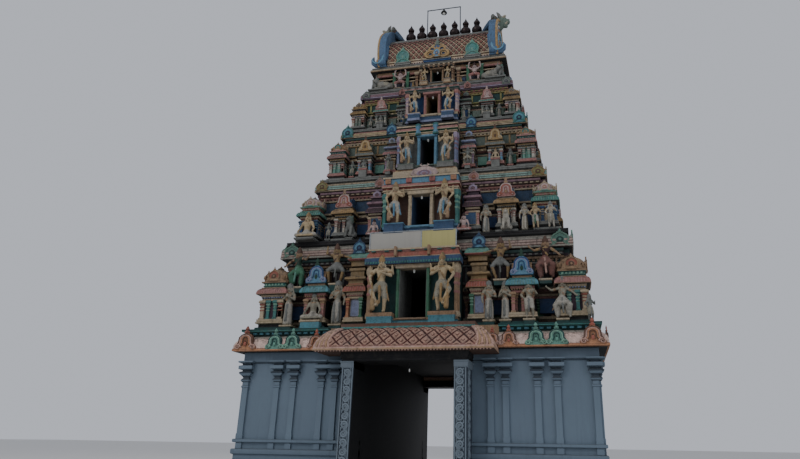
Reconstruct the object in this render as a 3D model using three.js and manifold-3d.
// A five-storey temple gateway tower (gopuram), in millimetres, +Z up, front towards -Y.
// The origin is on the ground at the middle of the plan. The tower is the same front and back, left and right.
import * as THREE from "three";
import { mergeVertices } from "three/addons/utils/BufferGeometryUtils.js";
import Module from "manifold-3d";

const wasm = await Module();
wasm.setup();

// Driving dimensions of the stone base
const BASE_HALF_WIDTH = 5000;
const BASE_HALF_DEPTH = 3570;
const GATE_HALF_WIDTH = 1360;
const JAMB_WIDTH = 340;
const JAMB_PROJECTION = 850;
const GATE_HEIGHT = 3600;
const CANOPY_UNDERSIDE = 3840;
const CANOPY_HALF_WIDTH = 2450;
const CANOPY_PROJECTION = 1200;
const BASE_TOP = 3980;
const PLINTH_TOP = 1590;
const PILASTER_CENTRES = [4925, 3950, 3440, 2600, 2200];
const PILASTER_WIDTH = 160;
const PILASTER_PROJECTION = 60;

// Each storey: floor, underside of the cornice over it, reach of the shrine cornices, core wall, wall thickness,
// portal and door. The slab over it reaches to overHalfWidth and overHalfDepth and ends at the next floor.
const STOREYS = [
  { floor: 4650, top: 7000, bayHalfWidth: 4990, bayHalfDepth: 3550, coreHalfWidth: 4300, coreHalfDepth: 2800,
    thickness: 550, portalHalfWidth: 1330, portalHalfDepth: 3770, doorHalfWidth: 400, sill: 4870, head: 6400,
    overHalfWidth: 4590, overHalfDepth: 3000, next: 7600 },
  { floor: 7600, top: 9540, bayHalfWidth: 4260, bayHalfDepth: 2880, coreHalfWidth: 3700, coreHalfDepth: 2200,
    thickness: 480, portalHalfWidth: 1200, portalHalfDepth: 3100, doorHalfWidth: 290, sill: 7880, head: 9000,
    overHalfWidth: 3920, overHalfDepth: 2380, next: 10050 },
  { floor: 10050, top: 11800, bayHalfWidth: 3650, bayHalfDepth: 2230, coreHalfWidth: 3150, coreHalfDepth: 1700,
    thickness: 420, portalHalfWidth: 1020, portalHalfDepth: 2430, doorHalfWidth: 240, sill: 10250, head: 11380,
    overHalfWidth: 3350, overHalfDepth: 1870, next: 12200 },
  { floor: 12200, top: 13650, bayHalfWidth: 3130, bayHalfDepth: 1690, coreHalfWidth: 2680, coreHalfDepth: 1280,
    thickness: 360, portalHalfWidth: 940, portalHalfDepth: 1860, doorHalfWidth: 210, sill: 12500, head: 13400,
    overHalfWidth: 2860, overHalfDepth: 1430, next: 14050 },
  { floor: 14050, top: 15000, bayHalfWidth: 2560, bayHalfDepth: 1090, coreHalfWidth: 2380, coreHalfDepth: 930,
    thickness: 300, portalHalfWidth: 640, portalHalfDepth: 1180, doorHalfWidth: 190, sill: 14250, head: 14900,
    overHalfWidth: 2630, overHalfDepth: 1160, next: 15200 },
];

// Heights inside a storey, as shares of its clear height
const LEVEL = {
  ledgeTop: 0.15, soffit: 0.47, tip: 0.5, bayTop: 0.56, neckTop: 0.65, domeTop: 0.86, finialTop: 0.95,
  flatTop: 0.68,
};
// Plan of the shrines, as shares of the reach of their cornices
const BAY = { kutaInner: 0.8, salaInner: 0.53, salaOuter: 0.715, flatInner: 0.3, flatOuter: 0.44 };
const BAY_OVERHANG_SHARE = 0.028;

// Driving dimensions of the wagon roof
const ROOF_FOOT = 15200;
const ROOF_RIDGE = 17050;
const ROOF_HALF_LENGTH = 2000;
const ROOF_HALF_DEPTH = 1080;
const ROOF_SHELL = 240;
const GABLE_THICKNESS = 340;
const CREST_HEIGHT = 60;
const FINIAL_COUNT = 7;
const FINIAL_SPACING = 457;
const FINIAL_HEIGHT = 820;
const FINIAL_RADIUS = 185;
const LAMP_POST_X = 686;
const LAMP_BAR_HEIGHT = 18550;
const PIPE_RADIUS = 20;

const material = (color, roughness = 0.8, metalness = 0) => new THREE.MeshStandardMaterial({ color, roughness, metalness });
const greyBlue = material(0x7d8fa3);
const stoneBlue = material(0x93a7bb);
const pinkPaint = material(0xc79a92);
const orangePaint = material(0xc98a62);
const blueWall = material(0x3f6f9a);
const tealPaint = material(0x5fa89c);
const creamPaint = material(0xcdb68e);
const tilePink = material(0xb9695f);
const gableBlue = material(0x4e7fb0);
const darkCopper = material(0x3a3030, 0.45, 0.7);
const greySteel = material(0x66696d, 0.5, 0.8);
const boardPaint = material(0xd8d3c0);

// Turns a closed three.js geometry into a solid that can be joined and cut.
function solid(geometry) {
  const bare = geometry.index ? geometry.toNonIndexed() : geometry.clone();
  bare.deleteAttribute("normal");
  bare.deleteAttribute("uv");
  const merged = mergeVertices(bare, 0.01);
  const vertProperties = merged.attributes.position.array;
  const triVerts = new Uint32Array(merged.index.array);
  const made = new wasm.Manifold(new wasm.Mesh({ numProp: 3, vertProperties, triVerts }));
  if (made.volume() > 0) return made;
  for (let i = 0; i < triVerts.length; i += 3) {
    [triVerts[i + 1], triVerts[i + 2]] = [triVerts[i + 2], triVerts[i + 1]];
  }
  return new wasm.Manifold(new wasm.Mesh({ numProp: 3, vertProperties, triVerts }));
}

const join = (pieces) => pieces.reduce((whole, piece) => whole.add(piece));

function block(x0, x1, y0, y1, z0, z1) {
  const box = new THREE.BoxGeometry(x1 - x0, y1 - y0, z1 - z0);
  return solid(box.translate((x0 + x1) / 2, (y0 + y1) / 2, (z0 + z1) / 2));
}

// A rectangular mass whose faces step in and out with height. Each step is [offset from the rectangle, height].
function moulded(x0, x1, y0, y1, steps) {
  const reach = 200;
  const profile = steps.map(([offset, z]) => new THREE.Vector2((offset + reach) * Math.SQRT2, z));
  profile.unshift(new THREE.Vector2(0, steps[0][1]));
  profile.push(new THREE.Vector2(0, steps[steps.length - 1][1]));
  const turned = new THREE.LatheGeometry(profile, 4, Math.PI / 4).rotateX(Math.PI / 2);
  const corners = turned.attributes.position;
  const spreadX = (x1 - x0) / 2 - reach;
  const spreadY = (y1 - y0) / 2 - reach;
  for (let i = 0; i < corners.count; i++) {
    const x = corners.getX(i);
    const y = corners.getY(i);
    if (Math.abs(x) < 1) continue;
    corners.setX(i, Math.round(x + Math.sign(x) * spreadX));
    corners.setY(i, Math.round(y + Math.sign(y) * spreadY));
    corners.setZ(i, Math.round(corners.getZ(i)));
  }
  return solid(turned.translate((x0 + x1) / 2, (y0 + y1) / 2, 0));
}

// A round mass turned about a vertical axis. Each point is [radius, height].
function turnedMass(x, y, points, sides) {
  const profile = points.map(([radius, z]) => new THREE.Vector2(radius, z));
  return solid(new THREE.LatheGeometry(profile, sides, Math.PI / sides).rotateX(Math.PI / 2).translate(x, y, 0));
}

// A section drawn in Y and Z, run along X from x0 to x1.
function runAlongX(section, x0, x1) {
  const run = new THREE.ExtrudeGeometry(section, { depth: x1 - x0, bevelEnabled: false, curveSegments: 3 });
  return solid(run.rotateX(Math.PI / 2).rotateZ(Math.PI / 2).translate(x0, 0, 0));
}

// A section drawn in X and Z, run along Y from y0 to y1.
function runAlongY(section, y0, y1) {
  const run = new THREE.ExtrudeGeometry(section, { depth: y1 - y0, bevelEnabled: false, curveSegments: 3 });
  return solid(run.rotateX(Math.PI / 2).translate(0, y1, 0));
}

const root = new THREE.Group();

function addNode(name, made, paint) {
  const kept = made.getMesh();
  const geometry = new THREE.BufferGeometry();
  geometry.setAttribute("position", new THREE.BufferAttribute(new Float32Array(kept.vertProperties), 3));
  geometry.setIndex(new THREE.BufferAttribute(new Uint32Array(kept.triVerts), 1));
  geometry.computeVertexNormals();
  const mesh = new THREE.Mesh(geometry, paint);
  mesh.name = name;
  root.add(mesh);
}

// A mass and its mirror image on the other side, as two nodes.
function addPair(name, mass, paint) {
  addNode(name + "_right", mass, paint);
  addNode(name + "_left", mass.mirror([1, 0, 0]), paint);
}

// The horseshoe outline of a vault: upright below, bulging, and closing in a pointed crown.
function horseshoe(halfWidth, foot, crown) {
  const rise = crown - foot;
  const outline = new THREE.Shape();
  outline.moveTo(-halfWidth * 0.86, foot);
  outline.lineTo(halfWidth * 0.86, foot);
  outline.quadraticCurveTo(halfWidth * 1.14, foot + rise * 0.35, halfWidth * 0.86, foot + rise * 0.62);
  outline.quadraticCurveTo(halfWidth * 0.5, foot + rise * 0.92, halfWidth * 0.1, crown);
  outline.lineTo(-halfWidth * 0.1, crown);
  outline.quadraticCurveTo(-halfWidth * 0.5, foot + rise * 0.92, -halfWidth * 0.86, foot + rise * 0.62);
  outline.quadraticCurveTo(-halfWidth * 1.14, foot + rise * 0.35, -halfWidth * 0.86, foot);
  return outline;
}

// The moulded plinth of one side of the gateway.
function plinth() {
  const steps = [
    [250, 0], [250, 260], [170, 300], [170, 700], [230, 760], [270, 880], [230, 1000], [60, 1060], [60, 1180],
    [120, 1180], [120, 1330], [20, 1330], [20, 1500], [110, 1500], [110, PLINTH_TOP],
  ];
  const mass = moulded(-BASE_HALF_WIDTH, BASE_HALF_WIDTH, -BASE_HALF_DEPTH, BASE_HALF_DEPTH, steps);
  const inner = GATE_HALF_WIDTH;
  const outer = GATE_HALF_WIDTH + JAMB_WIDTH;
  const far = BASE_HALF_WIDTH * 2;
  return mass
    .subtract(block(-far, inner, -far, far, -1, PLINTH_TOP + 1))
    .subtract(block(0, outer, -far, -BASE_HALF_DEPTH, -1, PLINTH_TOP + 1))
    .subtract(block(0, outer, BASE_HALF_DEPTH, far, -1, PLINTH_TOP + 1));
}

// A flat pilaster with its spreading capital, on the front face. It is centred on x.
function pilaster(x, face) {
  const half = PILASTER_WIDTH / 2;
  const back = face + 120;
  const front = face - PILASTER_PROJECTION;
  const shaft = block(x - half, x + half, front, back, PLINTH_TOP, 3760);
  const steps = [[0, 3290], [95, 3450], [30, 3500], [120, 3530], [120, 3600], [0, 3640]];
  return shaft.add(moulded(x - half, x + half, front, back + 200, steps));
}

// One side of the base wall, from the gateway to the corner, with its pilasters and the band over them.
function baseWall() {
  const mass = block(GATE_HALF_WIDTH, BASE_HALF_WIDTH, -BASE_HALF_DEPTH, BASE_HALF_DEPTH, PLINTH_TOP, BASE_TOP);
  const band = block(GATE_HALF_WIDTH + JAMB_WIDTH, BASE_HALF_WIDTH + 60, -BASE_HALF_DEPTH - 60, BASE_HALF_DEPTH + 60, 3730, BASE_TOP);
  const front = PILASTER_CENTRES.map((x) => pilaster(x, -BASE_HALF_DEPTH));
  const sideCentres = [3495, 2400, 900];
  const side = sideCentres.flatMap((y) => [y, -y]).map((y) => pilaster(y, -BASE_HALF_WIDTH).rotate([0, 0, 90]));
  const pilasters = join([...front, ...side]);
  const kept = block(GATE_HALF_WIDTH + JAMB_WIDTH, 9000, -9000, 9000, PLINTH_TOP, BASE_TOP);
  const both = pilasters.add(join(front).mirror([0, 1, 0])).intersect(kept);
  return mass.add(band).add(both);
}

// The curved eave over the gateway. Its flat top carries the doorkeepers of the first storey.
function canopy() {
  const top = STOREYS[0].floor;
  const drop = top - CANOPY_UNDERSIDE;
  const spread = 560;
  const steps = [
    [spread, CANOPY_UNDERSIDE], [spread, CANOPY_UNDERSIDE + 50], [spread * 0.93, CANOPY_UNDERSIDE + drop * 0.2],
    [spread * 0.74, CANOPY_UNDERSIDE + drop * 0.45], [spread * 0.4, CANOPY_UNDERSIDE + drop * 0.68],
    [spread * 0.1, CANOPY_UNDERSIDE + drop * 0.8], [0, CANOPY_UNDERSIDE + drop * 0.82], [0, top],
  ];
  const halfWidth = CANOPY_HALF_WIDTH - spread;
  const front = -BASE_HALF_DEPTH - CANOPY_PROJECTION + spread;
  const mass = moulded(-halfWidth, halfWidth, front, -front, steps);
  const overBand = block(-9000, 9000, -9000, -BASE_HALF_DEPTH, BASE_TOP, 9000);
  return mass.intersect(overBand.add(block(-9000, 9000, -9000, -BASE_HALF_DEPTH - 60, 0, 9000)));
}

// A curved cornice with the ledges of the next floor on it.
function corniceSlab(halfWidth, halfDepth, z0, z1, overhang) {
  const rise = z1 - z0;
  const steps = [
    [0, z0], [overhang * 0.85, z0], [overhang, z0 + rise * 0.03], [overhang, z0 + rise * 0.12],
    [overhang * 0.82, z0 + rise * 0.36], [overhang * 0.4, z0 + rise * 0.55], [overhang * 0.1, z0 + rise * 0.62],
    [overhang * 0.1, z0 + rise * 0.78], [overhang * 0.55, z0 + rise * 0.8], [overhang * 0.55, z1],
  ];
  return moulded(-halfWidth, halfWidth, -halfDepth, halfDepth, steps);
}

function baseCornice() {
  const overhang = 340;
  const slab = corniceSlab(BASE_HALF_WIDTH, BASE_HALF_DEPTH, BASE_TOP, STOREYS[0].floor, overhang);
  const gap = (y0, y1) => block(-CANOPY_HALF_WIDTH, CANOPY_HALF_WIDTH, y0, y1, 0, 9000);
  return slab.subtract(gap(-9000, -BASE_HALF_DEPTH)).subtract(gap(BASE_HALF_DEPTH, 9000));
}

const heightIn = (storey, share) => Math.round(storey.floor + (storey.top - storey.floor) * share);

// The body of a shrine: moulded foot, plain wall and curved cornice.
function shrineBody(storey, x0, x1, y0, y1, overhang, flat = false) {
  const at = (share) => heightIn(storey, share);
  const foot = overhang * 0.6;
  const steps = [
    [foot, storey.floor], [foot, at(LEVEL.ledgeTop)], [0, at(LEVEL.ledgeTop)], [0, at(LEVEL.soffit)],
    [overhang, at(LEVEL.soffit) + 20], [overhang, at(LEVEL.tip)], [0, at(LEVEL.bayTop)],
  ];
  if (flat) {
    steps.push([0, at(LEVEL.flatTop) - 90], [overhang * 0.7, at(LEVEL.flatTop) - 60], [overhang * 0.7, at(LEVEL.flatTop)]);
  }
  return moulded(x0, x1, y0, y1, steps);
}

// A square corner shrine with a neck and an eight-sided dome.
function cornerShrine(storey) {
  const at = (share) => heightIn(storey, share);
  const overhang = Math.round(storey.bayHalfWidth * BAY_OVERHANG_SHARE);
  const outerX = storey.bayHalfWidth - overhang;
  const outerY = storey.bayHalfDepth - overhang;
  const side = storey.bayHalfWidth * (1 - BAY.kutaInner) - overhang * 2;
  const body = shrineBody(storey, outerX - side, outerX, -outerY, -outerY + side, overhang);
  const radius = side * 0.56;
  const rise = at(LEVEL.domeTop) - at(LEVEL.neckTop);
  const dome = turnedMass(outerX - side / 2, -outerY + side / 2, [
    [0, at(LEVEL.bayTop) - 60], [radius * 0.85, at(LEVEL.bayTop) - 60], [radius * 0.85, at(LEVEL.neckTop)],
    [radius * 1.08, at(LEVEL.neckTop) + 10], [radius, at(LEVEL.neckTop) + rise * 0.55],
    [radius * 0.2, at(LEVEL.domeTop)], [0, at(LEVEL.finialTop)],
  ], 8);
  return body.add(dome);
}

// An oblong shrine with a small wagon roof that runs along the wall. It is centred on x and stands on the front.
function wagonShrine(storey, x0, x1, face, back) {
  const at = (share) => heightIn(storey, share);
  const overhang = Math.round(storey.bayHalfWidth * BAY_OVERHANG_SHARE);
  const body = shrineBody(storey, x0, x1, face, back, overhang);
  const middle = (x0 + x1) / 2;
  const half = (x1 - x0) / 2;
  const neck = block(x0 + 40, x1 - 40, face + 30, back, at(LEVEL.bayTop) - 20, at(LEVEL.neckTop));
  const depth = Math.abs(back - face);
  const vault = new THREE.Shape();
  vault.moveTo(face - 20, at(LEVEL.neckTop) - 10);
  vault.lineTo(face + depth, at(LEVEL.neckTop) - 10);
  vault.lineTo(face + depth, at(LEVEL.domeTop));
  vault.lineTo(face + depth * 0.55, at(LEVEL.domeTop));
  vault.quadraticCurveTo(face - 30, at(LEVEL.domeTop), face - 20, at(LEVEL.neckTop) - 10);
  const roof = runAlongX(vault, x0 + 20, x1 - 20);
  const arch = runAlongY(horseshoe(half * 0.8, at(LEVEL.neckTop) - 30, at(LEVEL.finialTop)), face - 60, face + 60);
  return join([body, neck, roof, arch.translate([middle, 0, 0])]);
}

// One side of a storey: the wall round the hollow chamber, and the shrines that stand against it.
function storeySide(storey) {
  const inner = storey.portalHalfWidth;
  const wide = storey.coreHalfWidth;
  const deep = storey.coreHalfDepth;
  const wall = block(inner, wide, -deep, deep, storey.floor, storey.top);
  const hollow = block(
    inner - 10, wide - storey.thickness, -(deep - storey.thickness), deep - storey.thickness, storey.floor - 10, storey.top + 10,
  );
  const overhang = Math.round(storey.bayHalfWidth * BAY_OVERHANG_SHARE);
  const face = -(storey.bayHalfDepth - overhang);
  const back = -(deep - storey.thickness / 2);
  const reach = storey.bayHalfWidth;
  const kuta = cornerShrine(storey);
  const sala = wagonShrine(storey, reach * BAY.salaInner + overhang, reach * BAY.salaOuter - overhang, face, back);
  const flat = shrineBody(storey, reach * BAY.flatInner + overhang, reach * BAY.flatOuter - overhang, face + 60, back, overhang * 0.8, true);
  const front = join([kuta, sala, flat]);
  const sideReach = Math.min(storey.bayHalfDepth * 0.3, 900);
  const sideFace = -(storey.bayHalfWidth - overhang * 0.4);
  const sideBack = -(wide - storey.thickness / 2);
  const side = wagonShrine(storey, -sideReach, sideReach, sideFace, sideBack).rotate([0, 0, 90]);
  const kept = block(inner, 9000, -9000, 9000, storey.floor, storey.top);
  return join([wall, front, front.mirror([0, 1, 0]), side]).subtract(hollow).intersect(kept);
}

// The projecting portal: outer pillars, recesses for the two doorkeepers, and a door cut right through.
function portal(storey) {
  const half = storey.portalHalfWidth;
  const face = -storey.portalHalfDepth;
  const back = -(storey.coreHalfDepth - storey.thickness);
  const recess = 260;
  const pillar = half * 0.13;
  const frame = half * 0.11;
  const coping = storey.head + (storey.top - storey.head) * 0.2;
  const body = block(-half, half, face + recess, back, storey.floor, storey.top);
  const foot = block(-half, half, face, face + recess + 10, storey.floor, storey.sill);
  const pillars = [-half, half - pillar].map((x) => block(x, x + pillar, face, face + recess + 10, storey.sill - 1, storey.head));
  const jambs = [-1, 1].map((side) => {
    const x = side * (storey.doorHalfWidth + frame / 2);
    return block(x - frame / 2, x + frame / 2, face + 90, face + recess + 10, storey.sill - 1, storey.head);
  });
  const band = moulded(-half, half, face, face + recess + 20, [
    [0, storey.head], [0, coping], [60, coping + 20], [60, coping + 100], [0, coping + (storey.top - coping) * 0.55],
    [0, storey.top - 60],
  ]);
  const wingBack = Math.min(face + recess + 10, -storey.coreHalfDepth - 60);
  const kept = block(-half - 60, half + 60, -9000, wingBack, storey.floor, storey.top).add(
    block(-half, half, face, back, storey.floor, storey.top),
  );
  const door = block(-storey.doorHalfWidth, storey.doorHalfWidth, face - 100, back + 100, storey.sill, storey.head);
  return join([body, foot, ...pillars, ...jambs, band]).intersect(kept).subtract(door);
}

// The top storey has no shrines: posts and ledges mark its bays.
function topStoreySide(storey) {
  const inner = storey.portalHalfWidth;
  const wide = storey.coreHalfWidth;
  const deep = storey.coreHalfDepth;
  const at = (share) => heightIn(storey, share);
  const steps = [
    [60, storey.floor], [60, at(0.1)], [0, at(0.12)], [0, at(0.84)], [60, at(0.88)], [60, storey.top],
  ];
  const wall = moulded(-wide, wide, -deep, deep, steps);
  const hollow = block(-20, wide - storey.thickness, -(deep - storey.thickness), deep - storey.thickness, storey.floor - 10, storey.top + 10);
  const posts = [1140, 1720].flatMap((x) => [1, -1].map((side) => {
    const y = side * (deep + 40);
    return block(x - 45, x + 45, y - 60, y + 60, storey.floor, storey.top);
  }));
  const kept = block(inner, 9000, -9000, 9000, storey.floor, storey.top);
  return join([wall, ...posts]).subtract(hollow).intersect(kept);
}

// The wagon roof, with one large and two small dormer arches on each long side.
function wagonRoof() {
  const vault = runAlongX(horseshoe(ROOF_HALF_DEPTH, ROOF_FOOT, ROOF_RIDGE), -ROOF_HALF_LENGTH, ROOF_HALF_LENGTH);
  const crest = block(-ROOF_HALF_LENGTH, ROOF_HALF_LENGTH, -100, 100, ROOF_RIDGE - 10, ROOF_RIDGE + CREST_HEIGHT);
  const dormers = [[0, 470, 960], [-1350, 270, 620], [1350, 270, 620]].map(([x, half, rise]) => {
    const reach = ROOF_HALF_DEPTH + 90;
    return runAlongY(horseshoe(half, ROOF_FOOT + 60, ROOF_FOOT + 60 + rise), -reach, reach).translate([x, 0, 0]);
  });
  const space = horseshoe(ROOF_HALF_DEPTH - ROOF_SHELL, ROOF_FOOT - 10, ROOF_RIDGE - ROOF_SHELL - 20);
  return join([vault, crest, ...dormers]).subtract(runAlongX(space, -ROOF_HALF_LENGTH - 10, ROOF_HALF_LENGTH + 10));
}

// The horned gable end: a horseshoe plate with curled feet and a beast head at its crown.
function gable() {
  const outer = horseshoe(ROOF_HALF_DEPTH + 260, ROOF_FOOT, ROOF_RIDGE + 420);
  const x0 = ROOF_HALF_LENGTH;
  const plate = runAlongX(outer, x0, x0 + GABLE_THICKNESS);
  const foot = (y) => {
    const curl = new THREE.CylinderGeometry(210, 210, GABLE_THICKNESS, 10).rotateZ(Math.PI / 2);
    return solid(curl.translate(x0 + GABLE_THICKNESS / 2, y, ROOF_FOOT + 211));
  };
  const feet = [-ROOF_HALF_DEPTH - 300, ROOF_HALF_DEPTH + 300].map(foot);
  const head = solid(new THREE.SphereGeometry(240, 8, 6).scale(1.25, 1, 0.95).translate(x0 + 330, 0, ROOF_RIDGE + 520));
  return join([plate, ...feet, head]);
}

function finial(x) {
  const foot = ROOF_RIDGE + CREST_HEIGHT;
  const at = (share) => foot + FINIAL_HEIGHT * share;
  return turnedMass(x, 0, [
    [0, foot], [FINIAL_RADIUS * 0.55, foot], [FINIAL_RADIUS * 0.45, at(0.06)], [FINIAL_RADIUS, at(0.24)],
    [FINIAL_RADIUS * 0.75, at(0.4)], [FINIAL_RADIUS * 0.4, at(0.46)], [FINIAL_RADIUS * 0.7, at(0.55)],
    [FINIAL_RADIUS * 0.55, at(0.68)], [FINIAL_RADIUS * 0.16, at(0.82)], [0, at(1)],
  ], 8);
}

// The pipe frame over the finials, and the lamp that hangs from it.
function lampFrame() {
  const foot = ROOF_RIDGE + CREST_HEIGHT;
  const height = LAMP_BAR_HEIGHT - foot;
  const pipe = (length) => new THREE.CylinderGeometry(PIPE_RADIUS, PIPE_RADIUS, length, 8);
  const posts = [-LAMP_POST_X, LAMP_POST_X].map((x) => solid(pipe(height).rotateX(Math.PI / 2).translate(x, 0, foot + height / 2)));
  const bar = solid(pipe(LAMP_POST_X * 2 + PIPE_RADIUS * 2).rotateZ(Math.PI / 2).translate(0, 0, LAMP_BAR_HEIGHT - PIPE_RADIUS));
  return join([...posts, bar]);
}

function lamp() {
  const top = LAMP_BAR_HEIGHT - PIPE_RADIUS * 2 - 0.3;
  return turnedMass(0, 0, [
    [0, top - 250], [45, top - 235], [60, top - 190], [130, top - 170], [120, top - 120], [40, top - 60],
    [12, top - 50], [12, top], [0, top],
  ], 8);
}

// The painted board over the first portal, on two short posts.
const BOARD_LEFT = -1520;
const BOARD_RIGHT = 1200;
const BOARD_FOOT = 7040;
const BOARD_HEIGHT = 610;
const BOARD_FACE = -3290;

addPair("plinth", plinth(), greyBlue);
addPair("base_wall", baseWall(), greyBlue);
const jamb = block(
  GATE_HALF_WIDTH, GATE_HALF_WIDTH + JAMB_WIDTH, -BASE_HALF_DEPTH - JAMB_PROJECTION, -BASE_HALF_DEPTH, 0, GATE_HEIGHT,
);
addPair("gate_jamb_front", jamb, stoneBlue);
addPair("gate_jamb_back", jamb.mirror([0, 1, 0]), stoneBlue);
const lintelHalf = GATE_HALF_WIDTH + JAMB_WIDTH;
const lintel = block(
  -lintelHalf, lintelHalf, -BASE_HALF_DEPTH - JAMB_PROJECTION, -BASE_HALF_DEPTH, GATE_HEIGHT, CANOPY_UNDERSIDE,
);
addNode("gate_lintel_front", lintel, stoneBlue);
addNode("gate_lintel_back", lintel.mirror([0, 1, 0]), stoneBlue);
addNode("gate_canopy_front", canopy(), tilePink);
addNode("gate_canopy_back", canopy().mirror([0, 1, 0]), tilePink);
addNode("base_cornice", baseCornice(), pinkPaint);

const wallPaints = [blueWall, tealPaint, blueWall, tealPaint, creamPaint];
STOREYS.forEach((storey, i) => {
  const name = "storey_" + (i + 1);
  const last = i === STOREYS.length - 1;
  addPair(name + "_wall", last ? topStoreySide(storey) : storeySide(storey), wallPaints[i]);
  addNode(name + "_portal_front", portal(storey), creamPaint);
  addNode(name + "_portal_back", portal(storey).mirror([0, 1, 0]), creamPaint);
  const overhang = last ? 120 : 260;
  const slab = corniceSlab(storey.overHalfWidth - overhang, storey.overHalfDepth - overhang, storey.top, storey.next, overhang);
  addNode(name + "_cornice", slab, orangePaint);
});

addNode("wagon_roof", wagonRoof(), tilePink);
addPair("gable_end", gable(), gableBlue);
for (let i = 0; i < FINIAL_COUNT; i++) {
  addNode("finial_" + (i + 1), finial((i - (FINIAL_COUNT - 1) / 2) * FINIAL_SPACING), darkCopper);
}
addNode("lamp_frame", lampFrame(), greySteel);
addNode("lamp", lamp(), greySteel);
const boardPosts = [BOARD_LEFT + 560, BOARD_RIGHT - 560].map((x) => {
  return block(x - 30, x + 30, BOARD_FACE, BOARD_FACE + 60, STOREYS[0].top, BOARD_FOOT + 10);
});
const boardPlate = block(
  BOARD_LEFT, BOARD_RIGHT, BOARD_FACE, BOARD_FACE + 60, BOARD_FOOT, BOARD_FOOT + BOARD_HEIGHT,
);
addNode("sign_board", join([boardPlate, ...boardPosts]), boardPaint);

export default root;
